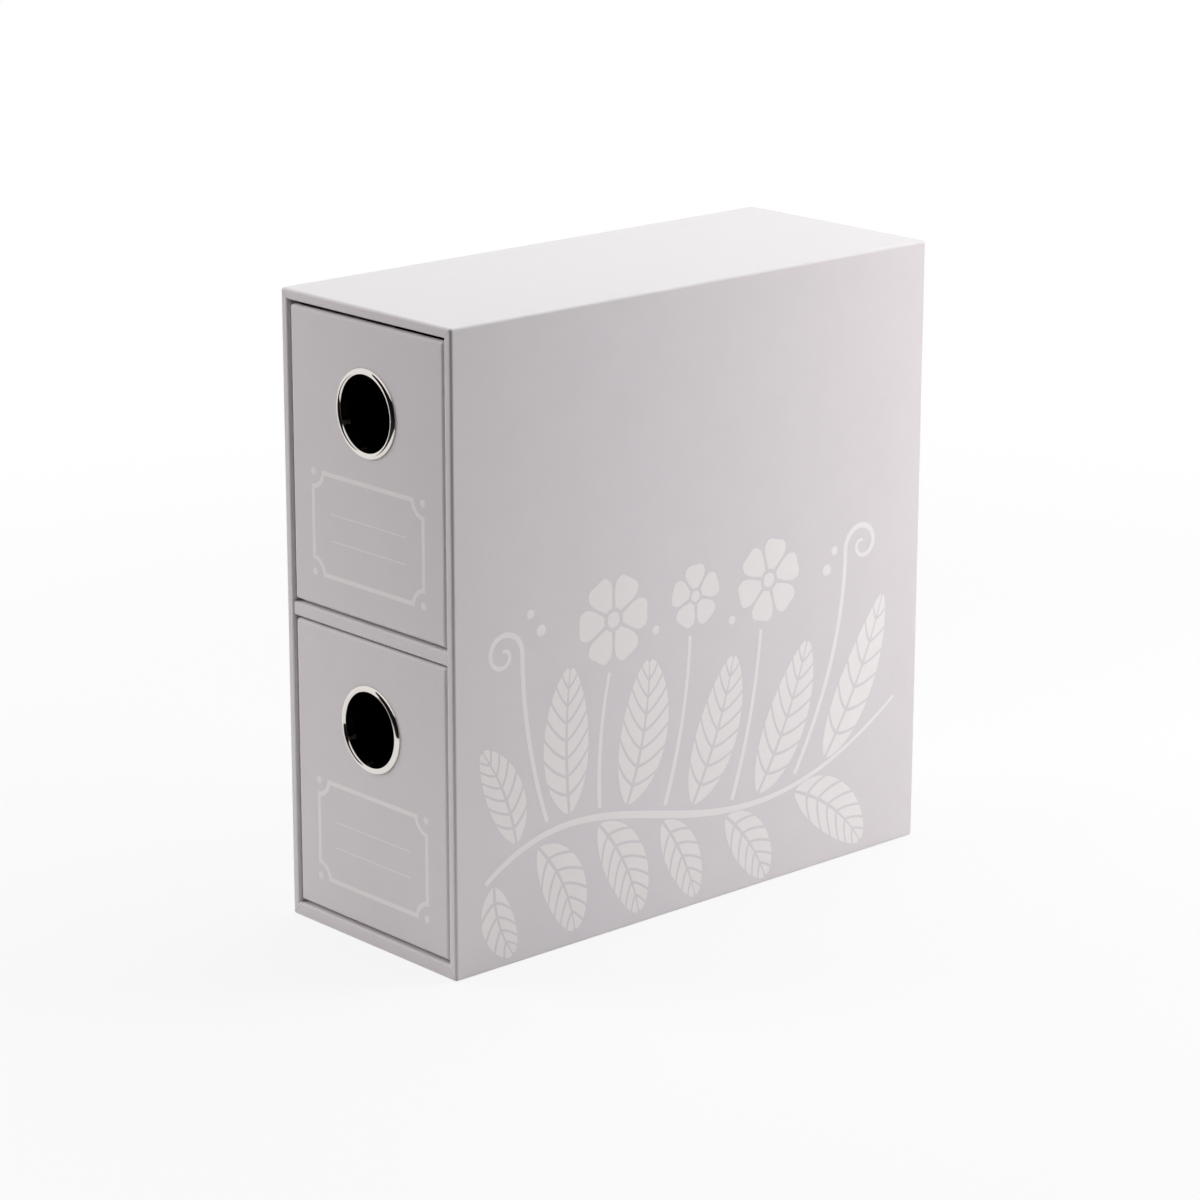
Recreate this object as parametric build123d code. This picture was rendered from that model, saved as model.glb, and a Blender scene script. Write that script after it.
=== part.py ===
"""Upright card box with two drawers: a paper-wrapped case with a shelf, and two trays with finger rings.

Millimetres. The box stands on z = 0 with its open front facing -Y. The origin is under the middle of its
length, from the rings' beads to the back. Every board is covered by two papers: a printed wrap outside,
which turns in past each rim, and a liner inside.
"""

import os

from build123d import *

# ---- case ---------------------------------------------------------------------------------------------
case_width = 95.0
case_depth = 237.0
case_height = 240.0
case_board = 3.5  # top, side and back boards
base_board = 5.0  # board under the lower drawer
paper = 0.25  # a wrap or a liner with its glue
case_edge_radius = 0.9  # rounding of the case boards' edges
turn_in = 15.0  # how far a wrap returns behind the rim it covers
base_margin = 12.0  # wrap turned under the case, round the base sheet

# ---- shelf between the two bays -----------------------------------------------------------------------
shelf_board = 5.0
shelf_drop = 0.3  # shelf below the middle of the room inside, so the upper bay is the taller
shelf_setback = 0.4  # shelf's front edge behind the case's front edge
shelf_edge_radius = 0.9

# ---- drawers ------------------------------------------------------------------------------------------
drawer_board = 2.0  # floor, side and back boards
front_board = 2.5  # board behind the drawer's face
front_edge_radius = 1.3  # rounding round the drawer's face
rim_radius = 0.7  # rounding of the tray's other edges
drawer_recess = 0.5  # drawer's face behind the case's front edge
front_lift = 0.9  # lower edge of the drawer's front above the rest of its underside
side_gap = 0.6  # each side of a drawer
top_gap = 0.8  # over the lower drawer
floor_gap = 0.3  # running clearance under a drawer
back_gap = 0.5  # behind a closed drawer

# ---- finger ring and its washer -----------------------------------------------------------------------
ring_throat_radius = 14.0  # clear hole for a finger
ring_bead_inner = 0.9  # from the throat out to the bead's crest
ring_bead_outer = 1.7  # from the crest out to the bead's rim
ring_bead_height = 1.1  # crest above the drawer's face
ring_sheet = 0.4  # metal thickness
ring_below_turn_in = 3.5  # hole's top under the edge of the wrap turned in over the drawer's rim
ring_hole_clearance = 0.15  # round the barrel in the board
ring_bend_radius = 0.4  # inside the flared end
ring_flare = 1.4  # flat of the flared end on the washer
washer_clearance = 0.2  # between the flare's bend and the washer
washer_width = 2.5
washer_thickness = 0.5

# ---- worked out from the sizes above ------------------------------------------------------------------
ring_proud = max(0, ring_bead_height - drawer_recess)  # the bead in front of the case
half_width = case_width / 2
back_y = (case_depth + ring_proud) / 2
front_y = back_y - case_depth
wall = case_board + 2 * paper
base = base_board + 2 * paper
shelf = shelf_board + 2 * paper

bay_half_width = half_width - wall
bay_back_y = back_y - wall
bay_height = (case_height - wall - base - shelf) / 2 - shelf_drop  # the lower bay's; both drawers fit it
lower_bay_z = base
shelf_z = lower_bay_z + bay_height
upper_bay_z = shelf_z + shelf

drawer_half_width = bay_half_width - side_gap
drawer_height = bay_height - floor_gap - top_gap
drawer_front_y = front_y + drawer_recess
drawer_back_y = bay_back_y - back_gap
drawer_wall = drawer_board + 2 * paper
drawer_face = front_board + 2 * paper

barrel_radius = ring_throat_radius + ring_sheet
hole_radius = barrel_radius + ring_hole_clearance
ring_centre_height = drawer_height - turn_in - ring_below_turn_in - hole_radius  # above its underside
washer_inner_radius = barrel_radius + ring_bend_radius + washer_clearance

beyond = 2.0  # how far a cutting block runs past the material


def block(x, y, z):
    """A box between three pairs of limits."""
    limits = (x, y, z)
    centre = [(low + high) / 2 for low, high in limits]
    size = [high - low for low, high in limits]
    return Pos(*centre) * Box(*size)


def across(half):
    """A pair of limits to both sides of the middle plane."""
    return (-half, half)


def edge_radius(board_radius, board, layer):
    """Radius at a depth in the paper: the board's own, held by its thickness, and the paper over it."""
    return min(board_radius, 0.45 * board) + paper - layer


def mouth_edges(body, direction):
    """The inner edges of the flat rim that faces the given way, round an open box's mouth."""
    rim = body.faces().filter_by(lambda face: (face.normal_at() - direction).length < 1e-6).sort_by(
        lambda face: direction.dot(face.center())
    )[-1]
    return rim.inner_wires()[0].edges()


# ---- case: boards, wrap, liner ------------------------------------------------------------------------
def case_body(layer):
    """The case in one piece with its open front, at a depth in the paper."""
    outside = block(
        across(half_width - layer),
        (front_y + layer, back_y - layer),
        (layer, case_height - layer),
    )
    inside = block(
        across(bay_half_width + layer),
        (front_y - beyond, bay_back_y + layer),
        (base - layer, case_height - wall + layer),
    )
    radius = edge_radius(case_edge_radius, case_board, layer)
    body = fillet(outside.edges(), radius) - inside
    return fillet(mouth_edges(body, Vector(0, -1, 0)), radius)


def case_boards():
    """Base and top boards run full width; the back and side boards stand between them."""
    body = case_body(paper)
    inner_x = half_width - paper - case_board
    inner_y = back_y - paper - case_board
    low_z = paper + base_board
    high_z = case_height - paper - case_board
    all_x = across(half_width)
    all_y = (front_y, back_y)
    between = (low_z, high_z)
    return {
        "case_base_board": body & block(all_x, all_y, (0, low_z)),
        "case_top_board": body & block(all_x, all_y, (high_z, case_height)),
        "case_left_board": body & block((-half_width, -inner_x), all_y, between),
        "case_right_board": body & block((inner_x, half_width), all_y, between),
        "case_back_board": body & block(across(inner_x), (inner_y, back_y), between),
    }


def case_papers():
    """The printed wrap turns round the front edges. A liner covers the inside, a sheet the underside."""
    skin = case_body(0) - case_body(paper)
    lined_room = block(
        across(half_width - paper - case_board / 2),
        (front_y + turn_in, back_y - paper - case_board / 2),
        (paper + base_board / 2, case_height - paper - case_board / 2),
    )
    base_sheet = block(
        across(half_width - base_margin),
        (front_y + base_margin, back_y - base_margin),
        (0, paper),
    )
    return {
        "case_outer_wrap": skin - lined_room - base_sheet,
        "case_liner": skin & lined_room,
        "case_base_sheet": base_sheet,
    }


# ---- shelf --------------------------------------------------------------------------------------------
def shelf_body(layer):
    """The shelf between the case's lined walls, rounded along its front edge."""
    body = block(
        across(bay_half_width),
        (front_y + shelf_setback + layer, bay_back_y),
        (shelf_z + layer, shelf_z + shelf - layer),
    )
    front_edges = body.edges().filter_by(Axis.X).group_by(Axis.Y)[0]
    return fillet(front_edges, edge_radius(shelf_edge_radius, shelf_board, layer))


def shelf_parts():
    """The board, the printed strip round its front edge, and a liner on each face behind the strip."""
    board = shelf_body(paper)
    skin = shelf_body(0) - board
    strip_end = front_y + turn_in
    middle = shelf_z + shelf / 2
    behind = (strip_end, back_y)
    return {
        "shelf_board": board,
        "shelf_front_wrap": skin & block(across(half_width), (front_y, strip_end), (0, case_height)),
        "shelf_top_liner": skin & block(across(half_width), behind, (middle, case_height)),
        "shelf_bottom_liner": skin & block(across(half_width), behind, (0, middle)),
    }


# ---- one drawer, standing on z = 0 --------------------------------------------------------------------
def finger_hole():
    """A cutter for the ring's barrel through the drawer's front."""
    middle_y = drawer_front_y + drawer_face / 2
    cutter = Cylinder(hole_radius, drawer_face + 2 * beyond)
    return Pos(0, middle_y, ring_centre_height) * Rot(90, 0, 0) * cutter


def drawer_body(layer):
    """The open tray in one piece, at a depth in the paper. Its front hangs clear of the bay's floor."""
    all_x = across(drawer_half_width - layer)
    step_y = drawer_front_y + front_board + layer
    top = drawer_height - layer
    rounding = edge_radius(rim_radius, drawer_board, layer)
    front = block(all_x, (drawer_front_y + layer, step_y), (front_lift + layer, top))
    front = fillet(front.edges().group_by(Axis.Y)[0], edge_radius(front_edge_radius, front_board, layer))
    front = fillet(front.edges().filter_by(Axis.Y), rounding)
    tray = block(all_x, (step_y, drawer_back_y - layer), (layer, top))
    tray = fillet(tray.edges().filter_by(Axis.Y) + tray.edges().group_by(Axis.Y)[-1], rounding)
    inside = block(
        across(drawer_half_width - drawer_wall + layer),
        (drawer_front_y + drawer_face - layer, drawer_back_y - drawer_wall + layer),
        (drawer_wall - layer, drawer_height + beyond),
    )
    body = front + tray - inside
    body = fillet(mouth_edges(body, Vector(0, 0, 1)), rounding)
    return body - finger_hole()


def drawer_boards():
    """The front and back boards run full width and height; the floor and sides stand between them."""
    body = drawer_body(paper)
    inner_x = drawer_half_width - paper - drawer_board
    low_y = drawer_front_y + paper + front_board
    high_y = drawer_back_y - paper - drawer_board
    low_z = paper + drawer_board
    all_x = across(drawer_half_width)
    all_z = (0, drawer_height)
    above_floor = (low_z, drawer_height)
    return {
        "front_board": body & block(all_x, (drawer_front_y, low_y), all_z),
        "back_board": body & block(all_x, (high_y, drawer_back_y), all_z),
        "floor_board": body & block(all_x, (low_y, high_y), (0, low_z)),
        "left_board": body & block((-drawer_half_width, -inner_x), (low_y, high_y), above_floor),
        "right_board": body & block((inner_x, drawer_half_width), (low_y, high_y), above_floor),
    }


def drawer_papers():
    """The printed wrap covers the outside and turns in over the rim, and the liner covers the rest."""
    skin = drawer_body(0) - drawer_body(paper)
    lined_room = block(
        across(drawer_half_width - paper - drawer_board / 2),
        (drawer_front_y + paper + front_board / 2, drawer_back_y - paper - drawer_board / 2),
        (paper + drawer_board / 2, drawer_height - turn_in),
    )
    return {"wrap": skin - lined_room, "liner": skin & lined_room}


def turned(profile):
    """A profile of radius and height out of the drawer's face, turned round the finger hole's axis."""
    return Pos(0, drawer_front_y, ring_centre_height) * Rot(90, 0, 0) * revolve(profile, Axis.Z)


def bead_arcs(inset):
    """The bead's section at a depth in the metal: two quarter ellipses from its rim over its crest."""
    crest = (ring_throat_radius + ring_bead_inner, 0)
    height = ring_bead_height - inset
    return [
        EllipticalCenterArc(crest, ring_bead_outer - inset, height, 0, arc_size=90),
        EllipticalCenterArc(crest, ring_bead_inner - inset, height, 90, arc_size=90),
    ]


def finger_ring():
    """Pressed ring: a domed bead on the face, a barrel through the front, an end flared on the washer."""
    rim_radius = ring_throat_radius + ring_bead_inner + ring_bead_outer
    washer_back = -(drawer_face + washer_thickness)
    flare_back = washer_back - ring_sheet
    bend_radius = barrel_radius + ring_bend_radius
    bend_height = washer_back + ring_bend_radius
    bend_centre = (bend_radius, bend_height)
    flare_radius = bend_radius + ring_flare
    outline = [
        *bead_arcs(0),
        Line((ring_throat_radius, 0), (ring_throat_radius, bend_height)),
        CenterArc(bend_centre, ring_bend_radius + ring_sheet, 180, 90),
        Line((bend_radius, flare_back), (flare_radius, flare_back)),
        Line((flare_radius, flare_back), (flare_radius, washer_back)),
        Line((flare_radius, washer_back), (bend_radius, washer_back)),
        CenterArc(bend_centre, ring_bend_radius, 180, 90),
        Line((barrel_radius, bend_height), (barrel_radius, 0)),
        *bead_arcs(ring_sheet),
        Line((rim_radius - ring_sheet, 0), (rim_radius, 0)),
    ]
    return turned(Plane.XZ * make_face(outline))


def ring_washer():
    """Flat washer that the ring's flared end clamps against the liner."""
    corners = [
        (washer_inner_radius, -drawer_face),
        (washer_inner_radius + washer_width, -drawer_face),
        (washer_inner_radius + washer_width, -drawer_face - washer_thickness),
        (washer_inner_radius, -drawer_face - washer_thickness),
    ]
    return turned(Plane.XZ * make_face(Polyline(*corners, close=True)))


def drawer_parts():
    """Every piece of one drawer, by its name without the drawer's."""
    fittings = {"finger_ring": finger_ring(), "ring_washer": ring_washer()}
    return {**drawer_boards(), **drawer_papers(), **fittings}


# ---- the whole box ------------------------------------------------------------------------------------
def all_parts():
    """Every piece of the box in its place, by its node's name."""
    parts = {**case_boards(), **case_papers(), **shelf_parts()}
    tray = drawer_parts()
    for drawer, bay_z in (("lower_drawer", lower_bay_z), ("upper_drawer", upper_bay_z)):
        for name, piece in tray.items():
            parts[f"{drawer}_{name}"] = Pos(0, 0, bay_z + floor_gap) * piece
    return parts


if __name__ == "__main__":
    os.makedirs("parts", exist_ok=True)
    for node, shape in all_parts().items():
        export_step(shape, f"parts/{node}.step")
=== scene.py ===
import bpy
import numpy as np
from mathutils import Matrix, Vector


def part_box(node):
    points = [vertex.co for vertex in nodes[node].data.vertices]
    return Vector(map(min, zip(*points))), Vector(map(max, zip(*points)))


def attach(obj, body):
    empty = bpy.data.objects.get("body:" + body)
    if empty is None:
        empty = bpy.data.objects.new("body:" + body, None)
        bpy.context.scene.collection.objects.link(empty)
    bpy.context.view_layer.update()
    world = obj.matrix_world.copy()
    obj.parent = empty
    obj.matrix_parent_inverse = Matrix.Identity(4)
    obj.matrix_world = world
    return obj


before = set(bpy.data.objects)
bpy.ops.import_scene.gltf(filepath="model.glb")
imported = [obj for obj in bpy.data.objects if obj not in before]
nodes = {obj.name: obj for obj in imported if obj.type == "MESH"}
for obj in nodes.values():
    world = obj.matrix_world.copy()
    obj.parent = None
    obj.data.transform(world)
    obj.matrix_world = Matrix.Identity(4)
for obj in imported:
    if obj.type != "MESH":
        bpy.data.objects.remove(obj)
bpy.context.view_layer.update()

mm = 0.001
axisX, axisY, axisZ = np.eye(3)
drawerNames = ("lower_drawer", "upper_drawer")
caseLow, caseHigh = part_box("case_outer_wrap")
sheetLow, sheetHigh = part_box("case_base_sheet")
paper = sheetHigh.z - sheetLow.z
print("frame loaded:", len(nodes), "nodes")


# Thin solids. A print or a paper lap is a set of flat patches. Each patch is a grid of flat points, raised by
# its thickness inside the border and sunk under the surface on the border, where one flat face closes it.

def gridQuads(rows, columns, closed=False):
    # corner numbers of the quads between a grid's lines; a closed grid also joins its last lines to its first
    rowSteps, columnSteps = (rows, columns) if closed else (rows - 1, columns - 1)
    row, column = (part.ravel() for part in np.meshgrid(np.arange(rowSteps), np.arange(columnSteps)))
    nextRow, nextColumn = (row + 1) % rows, (column + 1) % columns
    near = (row * columns + column, nextRow * columns + column)
    far = (nextRow * columns + nextColumn, row * columns + nextColumn)
    return np.stack([*near, *far], axis=1)


def borderLoop(rows, columns):
    # corner numbers once round a grid, down its first column first
    number = np.arange(rows * columns).reshape(rows, columns)
    return np.concatenate([number[:, 0], number[-1, 1:], number[-2::-1, -1], number[0, -2:0:-1]])


def signedArea(loop):
    # twice the area inside a loop of flat points, positive where it runs anticlockwise
    following = np.roll(loop, -1, axis=0)
    return np.sum(loop[:, 0] * following[:, 1] - loop[:, 1] * following[:, 0])


def solidPatch(flat, sheet):
    # an open patch: its heights are the sheet's thickness inside the border and below the surface on it
    rows, columns = flat.shape[:2]
    loop = borderLoop(rows, columns)
    if signedArea(flat.reshape(-1, 2)[loop]) < 0:
        flat = flat[:, ::-1]
    heights = np.full((rows, columns), -sheet["sunk"])
    heights[1:-1, 1:-1] = sheet["raised"]
    return flat, heights, gridQuads(rows, columns).tolist() + [loop[::-1].tolist()]


def solidBand(flat, sheet):
    # a band that closes on itself: columns run across it, and each row's last quad is its underside
    rows, columns = flat.shape[:2]
    if signedArea(flat[:, 0]) < 0:
        flat = flat[::-1]
    heights = np.full((rows, columns), sheet["raised"])
    heights[:, [0, -1]] = -sheet["sunk"]
    return flat, heights, gridQuads(rows, columns, closed=True).tolist()


def flatPiece(name, body, parts, place, material):
    # one object of many thin solids; place turns flat points and heights into points of the frame
    points, faces, count = [], [], 0
    for flat, heights, quads in parts:
        points.append(place(flat, heights).reshape(-1, 3))
        faces += [[corner + count for corner in quad] for quad in quads]
        count += len(points[-1])
    mesh = bpy.data.meshes.new(name)
    mesh.from_pydata(np.concatenate(points).tolist(), [], faces)
    mesh.materials.append(material)
    mesh.update()
    piece = bpy.data.objects.new(name, mesh)
    bpy.context.scene.collection.objects.link(piece)
    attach(piece, body)
    return piece


def edgedSteps(count, edge):
    # steps from 0 to 1 with the first and last close to the ends, for a crisp border
    return np.concatenate([[0.0], np.linspace(edge, 1.0 - edge, count), [1.0]])


def onFace(origin, rightward, upward):
    # flat points and heights in mm, on a face whose right and up are these directions, as seen from outside
    outward = np.cross(rightward, upward)

    def place(flat, heights):
        along = flat[..., :1] * rightward + flat[..., 1:] * upward
        return np.asarray(origin) + mm * (along + heights[..., None] * outward)

    return place


# Node trees

def addNode(tree, kind, inputs=None, **settings):
    # a node with its settings; its inputs are numbers, colours or other nodes' sockets
    node = tree.nodes.new("ShaderNode" + kind)
    for setting, value in settings.items():
        setattr(node, setting, value)
    for label, value in (inputs or {}).items():
        if isinstance(value, bpy.types.NodeSocket):
            tree.links.new(value, node.inputs[label])
        else:
            node.inputs[label].default_value = value
    return node


def mathOf(tree, operation, *values, clamp=False):
    return addNode(tree, "Math", dict(enumerate(values)), operation=operation, use_clamp=clamp).outputs[0]


def vectorOf(tree, operation, *values):
    return addNode(tree, "VectorMath", dict(enumerate(values)), operation=operation).outputs[0]


def noiseOf(tree, vector, scale, detail=3.0, roughness=0.55):
    inputs = {"Vector": vector, "Scale": scale, "Detail": detail, "Roughness": roughness}
    return addNode(tree, "TexNoise", inputs).outputs["Fac"]


def rangeOf(tree, value, fromLow, fromHigh, toLow, toHigh):
    # a smooth step from one number to another
    inputs = dict(enumerate((value, fromLow, fromHigh, toLow, toHigh)))
    return addNode(tree, "MapRange", inputs, interpolation_type="SMOOTHSTEP").outputs[0]


def newGroup(name, inputs, outputs):
    # a shader group: inputs are label: (kind, value), outputs label: kind
    group = bpy.data.node_groups.new(name, "ShaderNodeTree")
    for label, (kind, value) in inputs.items():
        socket = group.interface.new_socket(label, in_out="INPUT", socket_type="NodeSocket" + kind)
        socket.default_value = value
    for label, kind in outputs.items():
        group.interface.new_socket(label, in_out="OUTPUT", socket_type="NodeSocket" + kind)
    return group, group.nodes.new("NodeGroupInput").outputs, group.nodes.new("NodeGroupOutput").inputs


def placeGroup(tree, group, inputs):
    node = tree.nodes.new("ShaderNodeGroup")
    node.node_tree = group
    for label, value in inputs.items():
        if isinstance(value, bpy.types.NodeSocket):
            tree.links.new(value, node.inputs[label])
        else:
            node.inputs[label].default_value = value
    return node.outputs


def makePaperGrain():
    # fine felt of fibres over a slower cloud; Height for a bump, Cloud for the colour, both about 0 to 1
    feltStretch, fibreStretch = (1.0, 0.55, 0.8), (0.5, 1.0, 1.3)  # the two lie across each other
    feltShare, fibreScale = 0.6, 0.45
    inputs = {"Position": ("Vector", (0, 0, 0)), "Grain": ("Float", 0.4), "Cloud Size": ("Float", 9.0)}
    group, given, made = newGroup("paperGrain", inputs, {"Height": "Float", "Cloud": "Float"})
    links = group.links
    perMetre = mathOf(group, "DIVIDE", 1.0 / mm, given["Grain"])
    laid = vectorOf(group, "MULTIPLY", given["Position"], feltStretch)
    felt = noiseOf(group, laid, perMetre, 4.0, 0.65)
    crossed = vectorOf(group, "MULTIPLY", given["Position"], fibreStretch)
    fibres = noiseOf(group, crossed, mathOf(group, "MULTIPLY", perMetre, fibreScale), 2.0, 0.5)
    fibres = mathOf(group, "MULTIPLY", fibres, 1 - feltShare)
    links.new(mathOf(group, "MULTIPLY_ADD", felt, feltShare, fibres), made["Height"])
    slow = mathOf(group, "DIVIDE", 1.0 / mm, given["Cloud Size"])
    links.new(noiseOf(group, given["Position"], slow, 3.0, 0.6), made["Cloud"])
    return group


def makeEdgeWear():
    # 1 on a box's edges, where the second nearest of its faces is near, and 0 beyond Reach; a noise breaks
    # it up
    patchesPerMetre, leastWear = 260.0, 0.25
    inputs = {
        "Position": ("Vector", (0, 0, 0)), "Centre": ("Vector", (0, 0, 0)),
        "Half Size": ("Vector", (0.1, 0.1, 0.1)), "Reach": ("Float", 1.0 * mm),
    }
    group, given, made = newGroup("edgeWear", inputs, {"Mask": "Float"})
    away = vectorOf(group, "ABSOLUTE", vectorOf(group, "SUBTRACT", given["Position"], given["Centre"]))
    depth = addNode(group, "SeparateXYZ", {0: vectorOf(group, "SUBTRACT", given["Half Size"], away)}).outputs
    lowXY = mathOf(group, "MINIMUM", depth[0], depth[1])
    highXY = mathOf(group, "MAXIMUM", depth[0], depth[1])
    second = mathOf(group, "MAXIMUM", lowXY, mathOf(group, "MINIMUM", highXY, depth[2]))
    near = rangeOf(group, second, 0.0, given["Reach"], 1.0, 0.0)
    patches = noiseOf(group, given["Position"], patchesPerMetre, 4.0, 0.7)
    broken = rangeOf(group, patches, 0.35, 0.7, leastWear, 1.0)
    group.links.new(mathOf(group, "MULTIPLY", near, broken), made["Mask"])
    return group


def makeMitreLine():
    # a thin line on the diagonals of a rectangle's corners, where two wrapped flaps meet
    inputs = {
        "Across": ("Float", 0.0), "Upward": ("Float", 0.0), "Half Across": ("Float", 0.05),
        "Half Upward": ("Float", 0.1), "Width": ("Float", 0.2 * mm),
    }
    group, given, made = newGroup("mitreLine", inputs, {"Mask": "Float"})
    side = mathOf(group, "SUBTRACT", given["Half Across"], mathOf(group, "ABSOLUTE", given["Across"]))
    end = mathOf(group, "SUBTRACT", given["Half Upward"], mathOf(group, "ABSOLUTE", given["Upward"]))
    off = mathOf(group, "ABSOLUTE", mathOf(group, "SUBTRACT", side, end))
    group.links.new(rangeOf(group, off, 0.0, given["Width"], 1.0, 0.0), made["Mask"])
    return group


def makeTurningMarks():
    # fine rings round an axis along Y, as polishing leaves them; Streak is about 0 to 1
    marksPerMetre = 5200.0
    inputs = {"Position": ("Vector", (0, 0, 0)), "Centre": ("Vector", (0, 0, 0))}
    group, given, made = newGroup("turningMarks", inputs, {"Streak": "Float"})
    offset = vectorOf(group, "SUBTRACT", given["Position"], given["Centre"])
    flat = vectorOf(group, "MULTIPLY", offset, (1, 0, 1))
    radius = addNode(group, "VectorMath", {0: flat}, operation="LENGTH").outputs["Value"]
    depth = addNode(group, "SeparateXYZ", {0: given["Position"]}).outputs[1]
    section = addNode(group, "CombineXYZ", {0: radius, 1: depth}).outputs[0]
    group.links.new(noiseOf(group, section, marksPerMetre, 3.0, 0.7), made["Streak"])
    return group


paperGrain = makePaperGrain()
edgeWear = makeEdgeWear()
mitreLine = makeMitreLine()
turningMarks = makeTurningMarks()


# Finishes

def screenColour(red, green, blue):
    # a colour as a screen shows it, made linear
    value = np.array([red, green, blue]) / 255.0
    linear = np.where(value < 0.04045, value / 12.92, ((value + 0.055) / 1.055) ** 2.4)
    return (*linear.tolist(), 1.0)


def newFinish(name, roughness, specular=0.5, metallic=0.0):
    material = bpy.data.materials.new(name)
    material.use_nodes = True
    tree = material.node_tree
    shader = tree.nodes["Principled BSDF"]
    shader.inputs["Roughness"].default_value = roughness
    shader.inputs["Specular IOR Level"].default_value = specular
    shader.inputs["Metallic"].default_value = metallic
    position = tree.nodes.new("ShaderNodeTexCoord").outputs["Object"]
    return material, tree, shader.inputs, position


def mixColours(tree, factor, first, second):
    inputs = {0: factor, 6: first, 7: second}
    return addNode(tree, "Mix", inputs, data_type="RGBA").outputs[2]


noiseMiddle = (0.3, 0.7)  # most of a noise's values lie between these


def bumpOf(tree, height, strength, depth):
    inputs = {"Height": height, "Strength": strength, "Distance": depth * mm}
    return addNode(tree, "Bump", inputs).outputs[0]


# grain and cloud are the sizes of the noises and wearReach, foldReach and bumpDepth are lengths, all in mm
coatedPaper = {
    "colour": screenColour(222, 218, 221), "shade": screenColour(216, 212, 215),
    "worn": screenColour(231, 228, 230), "fold": screenColour(150, 146, 148),
    "roughness": 0.43, "roughnessSpread": 0.02, "grain": 0.45, "cloud": 14.0,
    "bump": 0.35, "bumpDepth": 0.02, "wear": 0.2, "wearReach": 0.9,
    "foldReach": (0.6, 1.1), "foldShade": 0.8, "foldDepth": 2.0,
}


def coatedPaperFinish(name, low, high, folded=False, look=coatedPaper):
    # satin printed paper on a box between two corners: grain, clouding, paler edges, and folds at its mouth
    material, tree, sockets, position = newFinish(name, look["roughness"])
    centre, half = (low + high) / 2, (high - low) / 2
    grain = placeGroup(tree, paperGrain, {
        "Position": position, "Grain": look["grain"], "Cloud Size": look["cloud"]})
    wear = placeGroup(tree, edgeWear, {
        "Position": position, "Centre": centre, "Half Size": half, "Reach": look["wearReach"] * mm})
    place = addNode(tree, "SeparateXYZ", {0: vectorOf(tree, "SUBTRACT", position, tuple(centre))}).outputs
    colour = mixColours(tree, grain["Cloud"], look["shade"], look["colour"])
    colour = mixColours(tree, mathOf(tree, "MULTIPLY", wear["Mask"], look["wear"]), colour, look["worn"])
    height = grain["Height"]
    if folded:
        full, none = (reach * mm - half.y for reach in look["foldReach"])
        front = rangeOf(tree, place[1], full, none, 1.0, 0.0)
        fold = placeGroup(tree, mitreLine, {
            "Across": place[0], "Upward": place[2], "Half Across": half.x, "Half Upward": half.z})
        foldMask = mathOf(tree, "MULTIPLY", fold["Mask"], front)
        shaded = mathOf(tree, "MULTIPLY", foldMask, look["foldShade"])
        colour = mixColours(tree, shaded, colour, look["fold"])
        height = mathOf(tree, "SUBTRACT", height, mathOf(tree, "MULTIPLY", foldMask, look["foldDepth"]))
    tree.links.new(colour, sockets["Base Color"])
    smooth, rough = look["roughness"] - look["roughnessSpread"], look["roughness"] + look["roughnessSpread"]
    tree.links.new(rangeOf(tree, grain["Cloud"], *noiseMiddle, smooth, rough), sockets["Roughness"])
    tree.links.new(bumpOf(tree, height, look["bump"], look["bumpDepth"]), sockets["Normal"])
    return material


printInk = {
    "colour": screenColour(240, 237, 237), "shade": screenColour(236, 233, 233),
    "smooth": 0.5, "rough": 0.62, "specular": 0.35,
    "grain": 0.3, "cloud": 5.0, "bump": 0.3, "bumpDepth": 0.015,
}


def printInkFinish(look=printInk):
    # matt white ink, a little uneven, as screen printing leaves it
    material, tree, sockets, position = newFinish("print_ink", look["smooth"], look["specular"])
    grain = placeGroup(tree, paperGrain, {
        "Position": position, "Grain": look["grain"], "Cloud Size": look["cloud"]})
    tree.links.new(mixColours(tree, grain["Cloud"], look["shade"], look["colour"]), sockets["Base Color"])
    roughness = rangeOf(tree, grain["Height"], *noiseMiddle, look["smooth"], look["rough"])
    tree.links.new(roughness, sockets["Roughness"])
    tree.links.new(bumpOf(tree, grain["Height"], look["bump"], look["bumpDepth"]), sockets["Normal"])
    return material


blackPaper = {
    "colour": screenColour(36, 36, 37), "shade": screenColour(27, 27, 28),
    "smooth": 0.64, "rough": 0.78, "specular": 0.4,
    "grain": 0.35, "cloud": 7.0, "bump": 0.6, "bumpDepth": 0.03,
}
greyBoard = {
    "colour": screenColour(158, 152, 143), "shade": screenColour(128, 121, 111),
    "smooth": 0.82, "rough": 0.96, "specular": 0.4,
    "grain": 0.8, "cloud": 2.4, "bump": 0.8, "bumpDepth": 0.08,
}


def plainSheetFinish(name, look):
    # uncoated paper or board: mottled by its fibres, rough, with a soft felt to it
    material, tree, sockets, position = newFinish(name, look["smooth"], look["specular"])
    grain = placeGroup(tree, paperGrain, {
        "Position": position, "Grain": look["grain"], "Cloud Size": look["cloud"]})
    mottle = mathOf(tree, "MULTIPLY_ADD", grain["Cloud"], 0.5, grain["Height"])
    mottle = rangeOf(tree, mottle, 0.5, 1.0, 0.0, 1.0)
    tree.links.new(mixColours(tree, mottle, look["shade"], look["colour"]), sockets["Base Color"])
    roughness = rangeOf(tree, grain["Height"], *noiseMiddle, look["smooth"], look["rough"])
    tree.links.new(roughness, sockets["Roughness"])
    tree.links.new(bumpOf(tree, grain["Height"], look["bump"], look["bumpDepth"]), sockets["Normal"])
    return material


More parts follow.
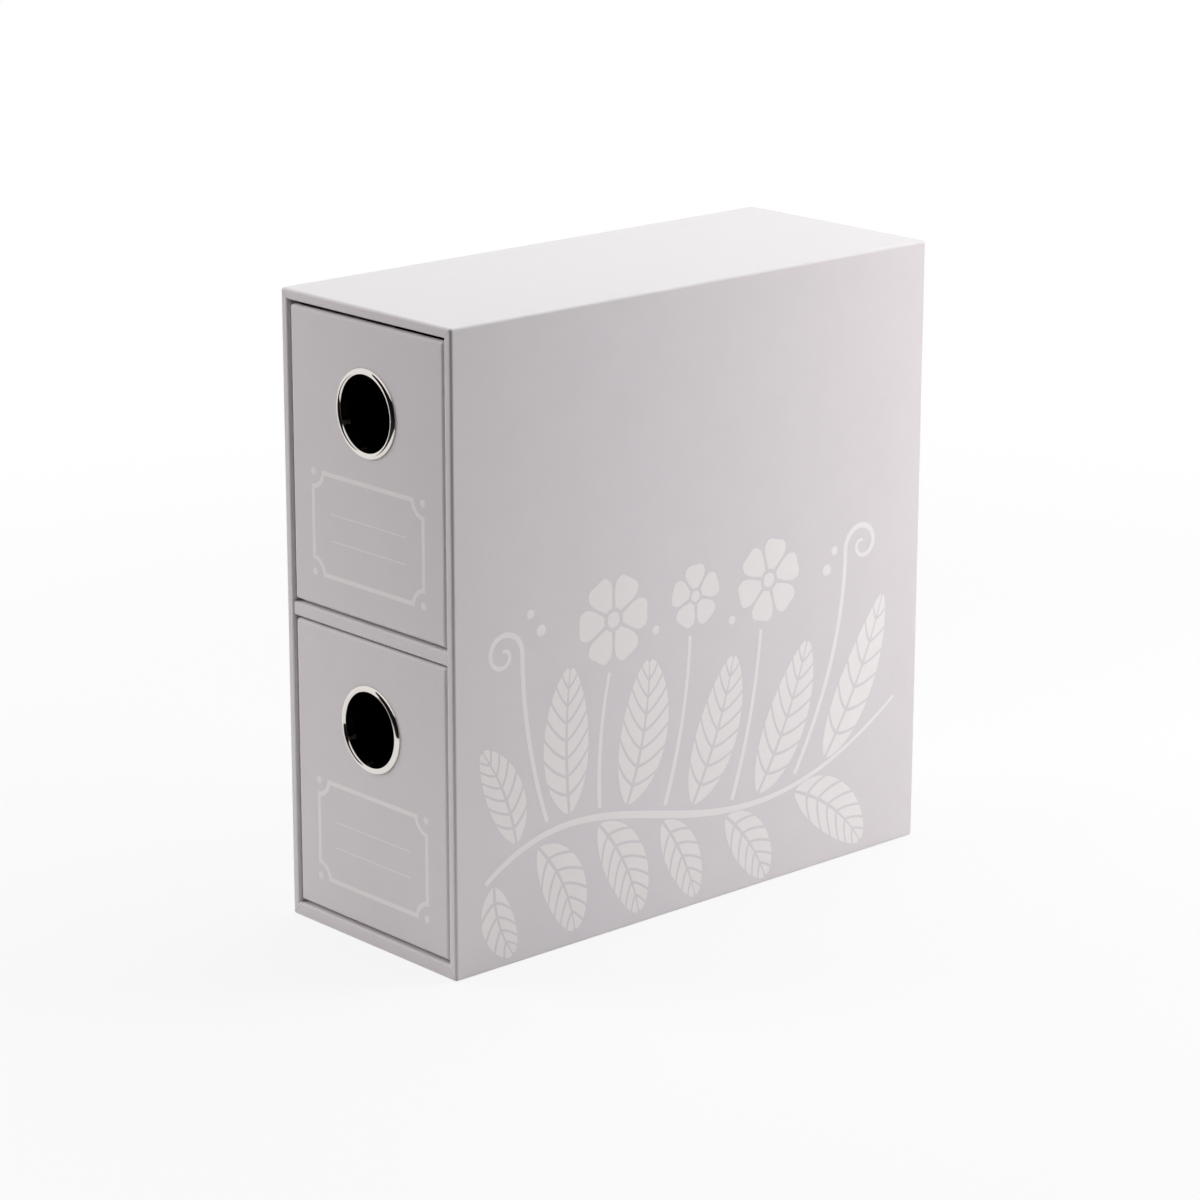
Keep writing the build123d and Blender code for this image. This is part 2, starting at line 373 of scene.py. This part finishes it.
brightPlate = {
    "colour": screenColour(232, 227, 223), "shade": screenColour(216, 210, 205),
    "smooth": 0.05, "marked": 0.12, "bump": 0.04, "bumpDepth": 0.01,
}
dullPlate = {
    "colour": screenColour(205, 202, 197), "shade": screenColour(183, 179, 172),
    "smooth": 0.22, "marked": 0.38, "bump": 0.15, "bumpDepth": 0.01,
}


def platedFinish(name, centre, look):
    # plated metal with fine marks round the hole's axis
    material, tree, sockets, position = newFinish(name, look["smooth"], metallic=1.0)
    streak = placeGroup(tree, turningMarks, {"Position": position, "Centre": centre})["Streak"]
    tree.links.new(mixColours(tree, streak, look["shade"], look["colour"]), sockets["Base Color"])
    tree.links.new(rangeOf(tree, streak, 0.35, 0.8, look["smooth"], look["marked"]), sockets["Roughness"])
    tree.links.new(bumpOf(tree, streak, look["bump"], look["bumpDepth"]), sockets["Normal"])
    return material


def dress(node, material):
    # the node's finish goes on its object, so that its mesh stays as it came
    for slot in nodes[node].material_slots:
        slot.link = "OBJECT"
        slot.material = material


caseWrap = coatedPaperFinish("case_wrap_paper", caseLow, caseHigh, folded=True)
ink = printInkFinish()
blackLiner = plainSheetFinish("black_liner_paper", blackPaper)
rawBoard = plainSheetFinish("raw_grey_board", greyBoard)
for name in nodes:
    if name.endswith("_board"):
        dress(name, rawBoard)
    elif name.endswith(("liner", "base_sheet")):
        dress(name, blackLiner)
for name in ("case_outer_wrap", "shelf_front_wrap"):
    dress(name, caseWrap)
drawerWraps = {}
for drawer in drawerNames:
    wrap, ring = f"{drawer}_wrap", f"{drawer}_finger_ring"
    drawerWraps[drawer] = coatedPaperFinish(f"{wrap}_paper", *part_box(wrap))
    dress(wrap, drawerWraps[drawer])
    ringCentre = sum(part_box(ring), Vector()) / 2
    dress(ring, platedFinish(f"{ring}_plate", ringCentre, brightPlate))
    dress(f"{drawer}_ring_washer", platedFinish(f"{drawer}_washer_plate", ringCentre, dullPlate))
print("finishes on:", len(bpy.data.materials), "materials")


# Leaf print on the right side. Flat points are mm behind the case's front edge and mm above its base.

inkSheet = {"raised": 0.03, "sunk": 0.03}
leafLook = {
    "gap": 1.0,  # mm between the patches
    "midribGap": 0.5,  # mm to each side of the midrib at the root
    "midribFade": 0.6,  # share of that gap lost by the tip
    "veinSlant": (58.0, 30.0),  # degrees off the midrib at the root and at the tip
    "veinCrowding": 0.95,
    "belly": 0.38,  # widest place along the leaf
    "reach": 0.65, "fullness": 0.8, "sweep": 0.35, "tipEnd": 0.985, "steps": 6, "edge": 0.05,
}
leafPrint = {
    "stem": ((13, 33), (78, 80), (128, -8), (226, 62)),
    "stemWidths": (2.4, 3.4, 1.2),
    "stemSteps": 90,
    "stalkWidths": (2.2, 1.6),
    "stalkSteps": 30,
    "leafGap": 3.8,  # from the stem's middle to a leaf's root
    "stalkGap": 2.6,  # from the stem's middle to a stalk's foot
    "flowerGap": 0.8,  # from a stalk's head to the petals
    # place along the stem, tip, bend, width, veins
    "leaves": (
        (0.02, (27, 4), -0.16, 15, 5), (0.13, (57, 6), 0.16, 20, 6), (0.29, (89, 5), 0.14, 20, 7),
        (0.46, (118, 4), 0.10, 16.5, 6), (0.62, (155, 3), 0.12, 18, 6), (0.78, (207, 5), 0.16, 21, 7),
        (0.09, (13, 84), -0.12, 17, 7), (0.22, (55, 107), 0.06, 22, 8), (0.37, (94, 102), -0.10, 24, 8),
        (0.54, (137, 95), -0.08, 22, 8), (0.70, (176, 93), -0.08, 22, 8), (0.85, (217, 104), -0.08, 19, 7),
    ),
    # place along the stem, centre, radius, petals, turn, bend of the stalk
    "flowers": (
        (0.30, (76, 121), 18, 6, 0, 0.08), (0.47, (117, 122), 13, 5, 20, -0.08),
        (0.64, (155, 121), 17, 6, 15, -0.07),
    ),
    # place along the stem, centre, radius, turn direction
    "tendrils": ((0.165, (23, 118), 9, -1), (0.785, (205, 126), 9, 1)),
    "berries": (
        (41, 124, 2.3), (36, 131, 1.8), (186, 119, 2.3), (190, 126, 1.8), (97, 113, 1.8), (136, 109, 1.8),
    ),
}


def along(points, steps):
    # position, direction and leftward normal on a quadratic or cubic curve with these control points
    points, order = np.array(points, float), len(points) - 1
    steps = np.asarray(steps, float)[..., None]
    binomial = (1, 2, 1) if order == 2 else (1, 3, 3, 1)
    weights = [c * (1 - steps) ** (order - k) * steps ** k for k, c in enumerate(binomial)]
    position = sum(weight * point for weight, point in zip(weights, points))
    lower = (1, 1) if order == 2 else (1, 2, 1)
    legs = np.diff(points, axis=0)
    shares = [c * (1 - steps) ** (order - 1 - k) * steps ** k for k, c in enumerate(lower)]
    slope = sum(share * leg for share, leg in zip(shares, legs))
    tangent = slope / np.linalg.norm(slope, axis=-1, keepdims=True)
    return position, tangent, np.stack([-tangent[..., 1], tangent[..., 0]], axis=-1)


def bowed(start, end, bend):
    # control points of a curve that bows to the left of its chord by half of bend times its length
    start, end = np.array(start, float), np.array(end, float)
    chord = end - start
    return start, (start + end) / 2 + bend * np.array([-chord[1], chord[0]]), end


def leafPatches(start, tip, bend, width, veins, look=leafLook):
    # Each half is cut into patches between side veins. A point leaves the midrib along the vein's slant by
    # the vein's length, which swells to the belly and falls to the tip, and sweeps back with the square of
    # its way.
    ribs = bowed(start, tip, bend)
    length = np.linalg.norm(ribs[2] - ribs[0])
    cuts = look["tipEnd"] * np.linspace(0, 1, veins + 1) ** look["veinCrowding"]
    power = look["belly"] / (1 - look["belly"])
    peak = look["belly"] ** power * (1 - look["belly"])
    halfGap = look["gap"] / 2 / length
    steps = edgedSteps(look["steps"], look["edge"])
    patches = []
    for side in (1, -1):
        for vein in range(veins):
            first = cuts[vein] + (halfGap if vein else 0)
            last = cuts[vein + 1] - (halfGap if vein < veins - 1 else 0)
            place, out = np.meshgrid(first + (last - first) * steps, steps, indexing="ij")
            rib, tangent, normal = along(ribs, place)
            swell = (place ** power * (1 - place) / peak) ** look["fullness"]
            reach = width * look["reach"] * swell
            slant = look["veinSlant"][0] * (1 - place) + look["veinSlant"][1] * place
            slant = np.radians(slant)[..., None]
            vector = np.cos(slant) * tangent + side * np.sin(slant) * normal
            clear = side * look["midribGap"] * (1 - look["midribFade"] * place)[..., None] * normal
            sweep = (look["sweep"] * reach * (out ** 2 - out))[..., None] * tangent
            patches.append(rib + clear + (reach * out)[..., None] * vector + sweep)
    return patches


def ribbon(points, widths):
    # a path's points moved to both sides by half the width there
    step = np.gradient(points, axis=0)
    step /= np.linalg.norm(step, axis=1, keepdims=True)
    normal = np.stack([-step[:, 1], step[:, 0]], axis=1)
    across = edgedSteps(2, 0.12) * 2 - 1
    return points[:, None] + (widths[:, None] / 2 * across)[..., None] * normal[:, None]


flowerLook = {"eye": 0.24, "gap": 0.9, "cleft": 0.10, "shoulder": 0.30, "narrow": 0.62, "heart": 0.17}


def flowerPatches(centre, radius, petals, turn, look=flowerLook):
    # A petal's radius runs from the eye outwards, less in its middle for the cleft and at its sides for the
    # shoulders. Its half angle leaves a straight gap and swells with a sine from the eye on.
    out, across = np.meshgrid(edgedSteps(6, 0.04), edgedSteps(8, 0.03) * 2 - 1, indexing="ij")
    rim = 1 - look["cleft"] * (1 - np.abs(across)) ** 1.5 - look["shoulder"] * np.abs(across) ** 4
    reach = radius * (look["eye"] + (1 - look["eye"]) * out * rim)
    swell = look["narrow"] + (1 - look["narrow"]) * np.sin(np.pi * (0.15 + 0.6 * out))
    halfAngle = (np.pi / petals - look["gap"] / 2 / reach) * swell
    patches = []
    for petal in range(petals):
        angle = np.radians(turn + 360 * petal / petals) + across * halfAngle
        patches.append(np.stack([np.cos(angle), np.sin(angle)], axis=-1) * reach[..., None] + centre)
    return patches + [dot(centre, radius * look["heart"])]


def dot(centre, radius):
    # a square grid pressed into a disc: each side is shortened by the other one's square
    side, end = np.meshgrid(*[edgedSteps(5, 0.04) * 2 - 1] * 2, indexing="ij")
    disc = np.stack([side * np.sqrt(1 - end ** 2 / 2), end * np.sqrt(1 - side ** 2 / 2)], axis=-1)
    return np.asarray(centre) + radius * disc


tendrilLook = {"turns": 1.3, "inner": 0.12, "widths": (2.0, 2.4, 1.3)}


def tendril(start, centre, radius, hand, look=tendrilLook):
    # a stalk that rises to the coil's outer side, then a coil whose radius falls evenly over its turns
    outer = np.array(centre) + np.array([-hand * radius, 0.0])
    stalk = along((start, (outer[0], (start[1] + outer[1]) / 2), outer), np.linspace(0, 0.97, 20))[0]
    way = np.linspace(0, 1, 50)
    angle = (np.pi if hand > 0 else 0.0) - hand * 2 * np.pi * look["turns"] * way
    reach = radius * (1 - (1 - look["inner"]) * way)
    coil = np.asarray(centre) + reach[:, None] * np.stack([np.cos(angle), np.sin(angle)], axis=1)
    points = np.concatenate([stalk, coil])
    return ribbon(points, np.interp(np.linspace(0, 1, len(points)), (0, 0.4, 1), look["widths"]))


def stemPlace(station):
    return along(leafPrint["stem"], station)[0]


def sidePrint():
    leaves, stems, flowers = [], [], []
    stations = np.linspace(0, 1, leafPrint["stemSteps"])
    stems.append(ribbon(stemPlace(stations), np.interp(stations, (0, 0.5, 1), leafPrint["stemWidths"])))
    for station, tip, bend, width, veins in leafPrint["leaves"]:
        root = stemPlace(station)
        toTip = (np.array(tip) - root) / np.linalg.norm(np.array(tip) - root)
        leaves += leafPatches(root + leafPrint["leafGap"] * toTip, tip, bend, width, veins)
    for station, centre, radius, petals, turn, bend in leafPrint["flowers"]:
        root, centre = stemPlace(station), np.array(centre, float)
        toFlower = (centre - root) / np.linalg.norm(centre - root)
        end = centre - (radius + leafPrint["flowerGap"]) * toFlower
        stalk = bowed(root + leafPrint["stalkGap"] * toFlower, end, bend)
        stalk = along(stalk, np.linspace(0, 1, leafPrint["stalkSteps"]))[0]
        stems.append(ribbon(stalk, np.linspace(*leafPrint["stalkWidths"], len(stalk))))
        flowers += flowerPatches(centre, radius, petals, turn)
    for station, centre, radius, hand in leafPrint["tendrils"]:
        stems.append(tendril(stemPlace(station) + np.array([0, leafPrint["stalkGap"]]), centre, radius, hand))
    flowers += [dot((x, y), radius) for x, y, radius in leafPrint["berries"]]
    place = onFace((caseHigh.x, caseLow.y, caseLow.z), axisY, axisZ)
    for name, patches in (("leaves", leaves), ("stems", stems), ("flowers", flowers)):
        solids = [solidPatch(flat, inkSheet) for flat in patches]
        flatPiece(f"side_print_{name}", "case", solids, place, ink)
    print("side print:", len(leaves), "leaf patches,", len(flowers), "flower patches")


sidePrint()


# Label print on each drawer. Flat points are mm from the middle and mm above the drawer's underside.

labelPrint = {
    "width": 64.0, "height": 40.0, "above": 12.5, "line": 1.9, "notch": 6.0, "notchSteps": 12,
    "rules": (37.0, 27.0), "ruleWeight": 0.45, "ruleLength": 50.0, "dot": 1.5, "dotFromCorner": 1.2,
}


def notchedOutline(depth, look=labelPrint):
    # a rectangle whose corners are cut out by quarter circles round them, moved inwards by depth
    half = np.array([look["width"], look["height"]]) / 2
    radius = look["notch"] + depth
    start = np.arcsin(depth / radius)
    swing = np.linspace(np.pi / 2 - start, start, look["notchSteps"])
    arc = radius * np.stack([np.cos(swing), np.sin(swing)], axis=1)
    turned = []
    for turn in range(4):
        corner = half * ((-1, -1), (1, -1), (1, 1), (-1, 1))[turn]
        cosine, sine = round(np.cos(turn * np.pi / 2)), round(np.sin(turn * np.pi / 2))
        turned.append(corner + arc @ np.array([[cosine, sine], [-sine, cosine]]))
    return np.concatenate(turned)


def labelPieces(drawer, look=labelPrint):
    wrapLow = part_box(f"{drawer}_wrap")[0]
    middle = look["above"] + look["height"] / 2
    place = onFace((0.0, wrapLow.y, wrapLow.z), axisX, axisZ)
    depths = edgedSteps(2, 0.08) * look["line"]
    frameBand = np.stack([notchedOutline(depth, look) for depth in depths], axis=1) + (0, middle)
    border = flatPiece(f"{drawer}_label_frame", drawer, [solidBand(frameBand, inkSheet)], place, ink)
    patches = []
    for height in look["rules"]:
        sideways = np.linspace(-look["ruleLength"] / 2, look["ruleLength"] / 2, 8)
        path = np.stack([sideways, np.full(8, height)], axis=1)
        patches.append(ribbon(path, np.full(8, look["ruleWeight"])))
    for sideways in (-1, 1):
        for upward in (-1, 1):
            corner = np.array([look["width"] / 2 * sideways, middle + look["height"] / 2 * upward])
            patches.append(dot(corner - look["dotFromCorner"] * np.array([sideways, upward]), look["dot"]))
    solids = [solidPatch(flat, inkSheet) for flat in patches]
    flatPiece(f"{drawer}_label_rules", drawer, solids, place, ink)


for drawer in drawerNames:
    labelPieces(drawer)
print("label prints on")


# Paper laps, where a wrap's end or a folded corner lies over the paper under it.

lap = {
    "raised": 0.16,
    "sunk": 0.05,
    "fromRim": 1.4,  # every lap's end from the rim it runs to
    "seam": 12.0,  # width of the wrap's end
    "seamFromEdge": 2.2,
    "flap": 8.0,
    "flapDepth": 13.0,
    "flapSlant": 3.0,
    "flapFromMouth": 1.5,
}


def lapPatch(corners):
    # a four-cornered patch, even between its corners
    rowStep, columnStep = np.meshgrid(edgedSteps(3, 0.04), edgedSteps(3, 0.04), indexing="ij")
    corners = np.array(corners, float)
    rowStep, columnStep = rowStep[..., None], columnStep[..., None]
    near = corners[0] * (1 - columnStep) + corners[1] * columnStep
    far = corners[3] * (1 - columnStep) + corners[2] * columnStep
    return near * (1 - rowStep) + far * rowStep


def backSeam(name, body, low, high, material):
    # the wrap's end, down the whole of the back near one edge
    width, height = (high.x - low.x) / mm, (high.z - low.z) / mm
    left, right = width - lap["seamFromEdge"] - lap["seam"], width - lap["seamFromEdge"]
    bottom, top = lap["fromRim"], height - lap["fromRim"]
    corners = ((left, bottom), (right, bottom), (right, top), (left, top))
    place = onFace((high.x, high.y, low.z), -axisX, axisZ)
    flatPiece(name, body, [solidPatch(lapPatch(corners), lap)], place, material)


def cornerFlap(fromSide, side):
    # a folded corner's flap, hanging from the rim beside one end of a wall and slanting at its foot
    inner = fromSide + side * lap["flap"]
    head, foot = -lap["fromRim"], -lap["flapDepth"]
    return (fromSide, head), (inner, head), (inner, foot + lap["flapSlant"]), (fromSide, foot)


def drawerFlaps(drawer, material):
    # flaps on the inner faces of the front and back walls, beside the side walls
    low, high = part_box(f"{drawer}_liner")
    half = (high.x - low.x) / 2 / mm - paper / mm
    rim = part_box(f"{drawer}_wrap")[1].z
    parts = [solidPatch(lapPatch(cornerFlap(side * half, -side)), lap) for side in (-1, 1)]
    for end, y, rightward in (("front", low.y + paper, -axisX), ("back", high.y - paper, axisX)):
        place = onFace((0, y, rim), rightward, axisZ)
        flatPiece(f"{drawer}_{end}_flaps", drawer, parts, place, material)


def mouthFlaps():
    # flaps on the case's inner side walls, at the top and bottom of its mouth
    low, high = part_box("case_liner")
    bottom, top = low.z + paper, high.z - paper
    tall = (top - bottom) / mm
    near, far = lap["flapFromMouth"], lap["flapDepth"]
    shapes = []
    for level, way in ((0.0, 1), (tall, -1)):
        end = level + way * lap["flap"]
        shapes.append(((near, level), (far - lap["flapSlant"], level), (far, end), (near, end)))
    for side, wall, inward in (("left", low.x + paper, 1), ("right", high.x - paper, -1)):
        mirrored = [[(inward * x, y) for x, y in shape] for shape in shapes]
        parts = [solidPatch(lapPatch(shape), lap) for shape in mirrored]
        place = onFace((wall, caseLow.y, bottom), inward * axisY, axisZ)
        flatPiece(f"case_{side}_mouth_flaps", "case", parts, place, caseWrap)


backSeam("case_wrap_seam", "case", caseLow, caseHigh, caseWrap)
mouthFlaps()
for drawer in drawerNames:
    backSeam(f"{drawer}_wrap_seam", drawer, *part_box(f"{drawer}_wrap"), drawerWraps[drawer])
    drawerFlaps(drawer, drawerWraps[drawer])
print("paper laps on")


# Camera at the photograph's angle

cameraPlace = {
    "azimuth": 47.84, "elevation": 16.26, "roll": -0.092,  # degrees
    "behindFront": 0.096, "aimHeight": 0.120,  # metres, the point it turns about
    "away": 1.4896, "rightward": 0.01214, "upward": -0.00542,  # metres from that point
    "lens": 119.11, "sensor": 36.0,  # mm
    "clipEnd": 40.0,  # metres
}


def awayFrom(azimuth, elevation):
    # the direction of a place round the box; azimuth 0 is its front and 90 degrees its right side
    flat = np.cos(elevation)
    return np.array([np.sin(azimuth) * flat, -np.cos(azimuth) * flat, np.sin(elevation)])


def setCamera(look=cameraPlace):
    azimuth, elevation, roll = (np.radians(look[part]) for part in ("azimuth", "elevation", "roll"))
    right = np.array([np.cos(azimuth), np.sin(azimuth), 0.0])
    back = awayFrom(azimuth, elevation)
    up = np.cross(back, right)
    aim = np.array([0.0, caseLow.y + look["behindFront"], look["aimHeight"]])
    centre = aim + look["away"] * back + look["rightward"] * right + look["upward"] * up
    turnedRight = right * np.cos(roll) - up * np.sin(roll)
    turnedUp = right * np.sin(roll) + up * np.cos(roll)
    camera = bpy.data.objects.new("camera", bpy.data.cameras.new("camera"))
    camera.data.lens = look["lens"]
    camera.data.sensor_width = look["sensor"]
    camera.data.clip_end = look["clipEnd"]
    matrix = np.eye(4)
    matrix[:3] = np.stack([turnedRight, turnedUp, back, centre], axis=1)
    camera.matrix_world = Matrix(matrix.tolist())
    bpy.context.scene.collection.objects.link(camera)
    bpy.context.scene.camera = camera


setCamera()


# Studio: soft panels, a white floor that keeps the shadow, and a dark card on the camera's side

panels = {
    # azimuth from the front towards the right side, elevation, distance, width, height, watts, colour
    "overheadPanel": (180, 70, 1.4, 1.2, 1.2, 12.2, (0.97, 1.0, 0.98)),
    "leftPanel": (-50, 20, 1.3, 0.8, 0.8, 11.1, (1.0, 0.95, 0.945)),
    "rightPanel": (142, 18, 0.68, 0.3, 0.5, 3.25, (1.0, 0.95, 0.965)),
}
studio = {
    "aim": (0.0, 0.0, 0.12), "ambient": 0.33, "ambientColour": (0.985, 1.0, 0.985, 1.0),
    "unmirrored": ("leftPanel", "rightPanel"),  # they would leave hot spots on the rings and on the top
    "floorSize": 12.0, "floorDrop": 0.00005, "floorColour": (0.68, 0.68, 0.68, 1.0),
    "floorGlow": 0.85, "glowNear": 0.25, "glowFar": 0.8,
    # the card's section, as distance and height, lies on the floor and stands up further off
    "cardSection": ((0.42, 0.002), (2.2, 0.002), (2.2, 1.6)), "cardStart": -36.0, "cardEnd": 92.0,
    "cardSteps": 24, "cardColour": (0.02, 0.02, 0.02, 1.0),
}


def addPanel(name, azimuth, elevation, away, width, height, watts, colour):
    # a rectangular lamp that looks at the middle of the box
    back = Vector(awayFrom(np.radians(azimuth), np.radians(elevation)).tolist())
    lamp = bpy.data.lights.new(name, "AREA")
    lamp.shape = "RECTANGLE"
    lamp.size, lamp.size_y = width, height
    lamp.energy = watts
    lamp.color = colour
    panel = bpy.data.objects.new(name, lamp)
    panel.location = Vector(studio["aim"]) + away * back
    panel.rotation_euler = back.to_track_quat("Z", "Y").to_euler()
    panel.visible_glossy = name not in studio["unmirrored"]
    bpy.context.scene.collection.objects.link(panel)


def stageSheet(name, grid, material):
    # a backdrop from a grid of points
    mesh = bpy.data.meshes.new(name)
    mesh.from_pydata(grid.reshape(-1, 3).tolist(), [], gridQuads(*grid.shape[:2]).tolist())
    mesh.materials.append(material)
    piece = bpy.data.objects.new(name, mesh)
    bpy.context.scene.collection.objects.link(piece)
    return piece


def emptyTree(owner):
    # the node tree of a new material or world, with nothing in it
    owner.use_nodes = True
    owner.node_tree.nodes.clear()
    return owner.node_tree


def seenDirectly(tree):
    # 1 where the camera, a mirror or glass looks, and 0 for light that falls on the object
    rays = tree.nodes.new("ShaderNodeLightPath").outputs
    seen = mathOf(tree, "ADD", rays["Is Camera Ray"], rays["Is Glossy Ray"])
    return mathOf(tree, "ADD", seen, rays["Is Transmission Ray"], clamp=True)


def floorFinish():
    # lit and shadowed like paint near the box, and glowing white further off
    material = bpy.data.materials.new("studio_floor")
    tree = emptyTree(material)
    output = tree.nodes.new("ShaderNodeOutputMaterial")
    position = tree.nodes.new("ShaderNodeTexCoord").outputs["Object"]
    away = addNode(tree, "VectorMath", {0: position}, operation="LENGTH").outputs["Value"]
    glow = rangeOf(tree, away, studio["glowNear"], studio["glowFar"], studio["floorGlow"], 1.0)
    lit = addNode(tree, "BsdfDiffuse", {"Color": studio["floorColour"]}).outputs[0]
    white = addNode(tree, "Emission", {"Color": (1, 1, 1, 1), "Strength": 1.0}).outputs[0]
    share = mathOf(tree, "MULTIPLY", glow, seenDirectly(tree))
    mix = addNode(tree, "MixShader", {0: share, 1: lit, 2: white}).outputs[0]
    tree.links.new(mix, output.inputs["Surface"])
    return material


def plainStageFinish(name, colour):
    material = bpy.data.materials.new(name)
    material.use_nodes = True
    shader = material.node_tree.nodes["Principled BSDF"].inputs
    shader["Base Color"].default_value = colour
    shader["Roughness"].default_value = 1.0
    shader["Specular IOR Level"].default_value = 0.0
    return material


def setStudio():
    for name, settings in panels.items():
        addPanel(name, *settings)
    reach, level = studio["floorSize"] / 2, caseLow.z - studio["floorDrop"]
    floorX, floorY = np.meshgrid([-reach, reach], [-reach, reach])
    stageSheet("studio_floor", np.stack([floorX, floorY, np.full((2, 2), level)], axis=-1), floorFinish())
    # the dark card is its section turned about the box's middle
    azimuth = np.radians(np.linspace(studio["cardStart"], studio["cardEnd"], studio["cardSteps"]))[:, None]
    away, height = np.array(studio["cardSection"]).T
    heights = np.broadcast_to(level + height, (studio["cardSteps"], len(height)))
    turned = np.stack([away * np.sin(azimuth), -away * np.cos(azimuth), heights], axis=-1)
    card = stageSheet("dark_studio_card", turned, plainStageFinish("dark_card", studio["cardColour"]))
    card.visible_camera = False
    card.visible_shadow = False


def setWorld():
    # even soft light on the object; white where the camera, a mirror or glass sees it
    world = bpy.data.worlds.new("studio_world")
    bpy.context.scene.world = world
    tree = emptyTree(world)
    output = tree.nodes.new("ShaderNodeOutputWorld")
    soft = addNode(tree, "Background", {"Color": studio["ambientColour"], "Strength": studio["ambient"]})
    white = addNode(tree, "Background", {"Color": (1, 1, 1, 1), "Strength": 1.0})
    inputs = {0: seenDirectly(tree), 1: soft.outputs[0], 2: white.outputs[0]}
    mix = addNode(tree, "MixShader", inputs).outputs[0]
    tree.links.new(mix, output.inputs["Surface"])


setStudio()
setWorld()
bpy.context.scene.view_settings.view_transform = "Standard"
print("studio set")
